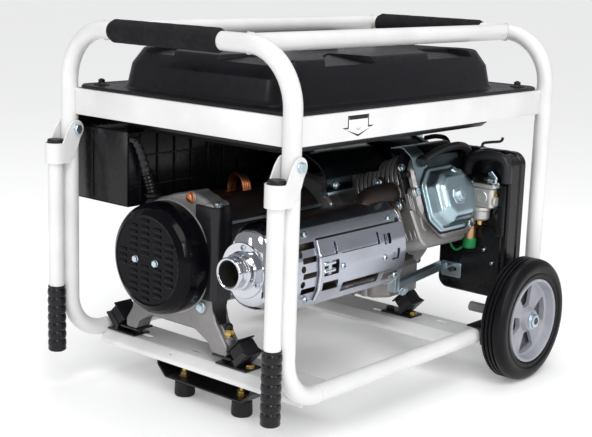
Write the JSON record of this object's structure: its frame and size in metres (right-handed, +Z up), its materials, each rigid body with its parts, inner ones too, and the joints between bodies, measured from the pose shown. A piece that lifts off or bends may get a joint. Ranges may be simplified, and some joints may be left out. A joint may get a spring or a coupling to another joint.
{
  "type": "portable generator",
  "caption": "Petrol-engined portable generator in a white open tube frame with tank on top, muffler and alternator inside, drop-down lift handles at one end and wheels at the other.",
  "frame": {"origin": "centre of the footprint of the whole outline, on the floor", "axes": "+Z up; +X toward the wheeled end, -X toward the lift handles; -Y toward the muffler side, +Y toward the control panel"},
  "size_m": [0.7434, 0.618, 0.6175],
  "materials": {
    "white_enamel": "gloss powder coat",
    "black_enamel": "satin black paint",
    "gloss_cover": "gloss moulded cover",
    "foam": "matt closed-cell foam",
    "rubber": "matt moulded rubber",
    "tyre_rubber": "grooved tyre rubber",
    "rim_plastic": "grained grey moulding",
    "dark_plastic": "matt moulding",
    "grey_plastic": "smooth moulding",
    "red_plastic": "smooth moulding",
    "cast_aluminium": "sand-cast, bead blasted",
    "zinc_plate": "bluish zinc plate",
    "laminations": "varnished laminated steel",
    "muffler_steel": "heat-tinted aluminised sheet",
    "bright_steel": "bright plated"
  },
  "bodies": {
    "frame": {"frame_hoop_left": "white_enamel", "frame_hoop_right": "white_enamel", "top_rail_near": "white_enamel", "top_rail_far": "white_enamel", "bottom_rail_near": "white_enamel", "bottom_rail_far": "white_enamel", "tank_shelf": "white_enamel", "cross_channel_left": "white_enamel", "cross_channel_right": "white_enamel", "foot_bracket": "black_enamel", "wheel_bracket_near": "black_enamel", "wheel_bracket_far": "black_enamel", "fuel_tank_upper": "black_enamel", "fuel_tank_lower": "black_enamel", "heat_plate": "black_enamel", "fan_housing": "black_enamel", "recoil_cover": "black_enamel", "panel_case": "black_enamel", "alternator_cover": "gloss_cover", "air_cleaner": "gloss_cover", "foam_grip_left": "foam", "foam_grip_right": "foam", "rubber_foot_near": "rubber", "rubber_foot_far": "rubber", "mount_left_near": "rubber", "mount_left_far": "rubber", "mount_right_near": "rubber", "mount_right_far": "rubber", "panel_face": "dark_plastic", "panel_conduit": "dark_plastic", "alternator_bell": "cast_aluminium", "alternator_adapter": "cast_aluminium", "crankcase": "cast_aluminium", "cylinder_head": "cast_aluminium", "carburettor": "cast_aluminium", "pivot_bolt_near": "zinc_plate", "pivot_bolt_far": "zinc_plate", "cooling_shroud": "zinc_plate", "air_cleaner_strut": "zinc_plate", "valve_cover": "zinc_plate", "alternator_stator": "laminations", "muffler": "muffler_steel", "muffler_outlet": "bright_steel", "muffler_shield": "bright_steel"},
    "wheel_near": {"tyre_near": "tyre_rubber", "rim_near": "rim_plastic"},
    "wheel_far": {"tyre_far": "tyre_rubber", "rim_far": "rim_plastic"},
    "lift_handle_near": {"handle_near": "white_enamel", "handle_grip_near": "rubber"},
    "lift_handle_far": {"handle_far": "white_enamel", "handle_grip_far": "rubber"},
    "cap": {"fuel_cap": "dark_plastic"},
    "rotor": {"crankshaft_rotor": "laminations"},
    "starter_grip": {"recoil_handle": "dark_plastic"},
    "choke": {"choke_lever": "zinc_plate"},
    "lid_left": {"outlet_lid_left": "grey_plastic"},
    "lid_right": {"outlet_lid_right": "grey_plastic"},
    "key": {"ignition_key": "dark_plastic"},
    "breaker": {"breaker_switch": "red_plastic"}
  },
  "joints": [
    {"name": "wheel_near_spin", "type": "hinge", "parent": "frame", "child": "wheel_near", "pos_m": [0.26225, -0.2825, 0.1085], "axis": [0, 1, 0], "continuous": true},
    {"name": "handle_near_swing", "type": "hinge", "parent": "frame", "child": "lift_handle_near", "pos_m": [-0.32475, -0.24, 0.436], "axis": [0, 1, 0], "range_deg": [0, 90]},
    {"name": "wheel_far_spin", "type": "hinge", "parent": "frame", "child": "wheel_far", "pos_m": [0.26225, 0.2825, 0.1085], "axis": [0, 1, 0], "continuous": true},
    {"name": "handle_far_swing", "type": "hinge", "parent": "frame", "child": "lift_handle_far", "pos_m": [-0.32475, 0.24, 0.436], "axis": [0, 1, 0], "range_deg": [0, 90]},
    {"name": "fuel_cap_turn", "type": "hinge", "parent": "frame", "child": "cap", "pos_m": [0.02425, 0.02, 0.584], "axis": [0, 0, 1], "range_deg": [0, 90]},
    {"name": "crankshaft_turn", "type": "hinge", "parent": "frame", "child": "rotor", "pos_m": [0.01425, 0.068, 0.2425], "axis": [1, 0, 0], "continuous": true},
    {"name": "starter_pull", "type": "slide", "parent": "frame", "child": "starter_grip", "axis": [1, 0, 0], "range_m": [0, 0.6], "stiffness_N_per_m": 12, "springref_m": -0.3},
    {"name": "choke_turn", "type": "hinge", "parent": "frame", "child": "choke", "pos_m": [0.26825, -0.172, 0.4], "axis": [0, 0, 1], "range_deg": [0, 40]},
    {"name": "lid_left_open", "type": "hinge", "parent": "frame", "child": "lid_left", "pos_m": [-0.21575, 0.2573, 0.422], "axis": [1, 0, 0], "range_deg": [0, 110], "stiffness_Nm_per_rad": 0.01, "springref_deg": -34.38},
    {"name": "lid_right_open", "type": "hinge", "parent": "frame", "child": "lid_right", "pos_m": [-0.10575, 0.2573, 0.422], "axis": [1, 0, 0], "range_deg": [0, 110], "stiffness_Nm_per_rad": 0.01, "springref_deg": -34.38},
    {"name": "key_turn", "type": "hinge", "parent": "frame", "child": "key", "pos_m": [0.03425, 0.26, 0.395], "axis": [0, 1, 0], "range_deg": [0, 90]},
    {"name": "breaker_flip", "type": "hinge", "parent": "frame", "child": "breaker", "pos_m": [-0.01575, 0.245, 0.395], "axis": [1, 0, 0], "range_deg": [0, 20]}
  ]
}
